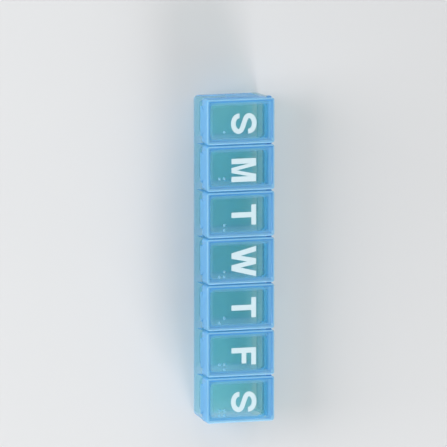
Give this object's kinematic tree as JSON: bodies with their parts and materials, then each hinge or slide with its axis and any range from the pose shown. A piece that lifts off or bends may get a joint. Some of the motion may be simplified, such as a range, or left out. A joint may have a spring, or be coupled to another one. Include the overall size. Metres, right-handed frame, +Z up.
{
  "type": "pill organizer",
  "caption": "Weekly pill organizer: a translucent moulded tray of deep cups in one row, each closed by its own hinged snap lid with a thumb lip.",
  "frame": {"origin": "middle of the object's footprint, on the underside of the tray", "axes": "+X along the row of cups from Sunday to Saturday, +Y towards the hinge side, +Z up through the lids"},
  "size_m": [0.1618, 0.036, 0.025],
  "materials": {
    "tray_plastic": "smooth glossy translucent blue polypropylene",
    "lid_plastic": "smooth glossy translucent blue polypropylene",
    "marking_ink": "pale printed letters"
  },
  "bodies": {
    "tray": {"tray": "tray_plastic"},
    "lid_sunday": {"lid_sunday": "lid_plastic"},
    "lid_monday": {"lid_monday": "lid_plastic"},
    "lid_tuesday": {"lid_tuesday": "lid_plastic"},
    "lid_wednesday": {"lid_wednesday": "lid_plastic"},
    "lid_thursday": {"lid_thursday": "lid_plastic"},
    "lid_friday": {"lid_friday": "lid_plastic"},
    "lid_saturday": {"lid_saturday": "lid_plastic"}
  },
  "joints": [
    {"name": "sunday_hinge", "type": "hinge", "parent": "tray", "child": "lid_sunday", "pos_m": [-0.0696, 0.01625, 0.0195], "axis": [-1, 0, 0], "range_deg": [0, 120]},
    {"name": "monday_hinge", "type": "hinge", "parent": "tray", "child": "lid_monday", "pos_m": [-0.0464, 0.01625, 0.0195], "axis": [-1, 0, 0], "range_deg": [0, 120]},
    {"name": "tuesday_hinge", "type": "hinge", "parent": "tray", "child": "lid_tuesday", "pos_m": [-0.0232, 0.01625, 0.0195], "axis": [-1, 0, 0], "range_deg": [0, 120]},
    {"name": "wednesday_hinge", "type": "hinge", "parent": "tray", "child": "lid_wednesday", "pos_m": [0, 0.01625, 0.0195], "axis": [-1, 0, 0], "range_deg": [0, 120]},
    {"name": "thursday_hinge", "type": "hinge", "parent": "tray", "child": "lid_thursday", "pos_m": [0.0232, 0.01625, 0.0195], "axis": [-1, 0, 0], "range_deg": [0, 120]},
    {"name": "friday_hinge", "type": "hinge", "parent": "tray", "child": "lid_friday", "pos_m": [0.0464, 0.01625, 0.0195], "axis": [-1, 0, 0], "range_deg": [0, 120]},
    {"name": "saturday_hinge", "type": "hinge", "parent": "tray", "child": "lid_saturday", "pos_m": [0.0696, 0.01625, 0.0195], "axis": [-1, 0, 0], "range_deg": [0, 120]}
  ]
}
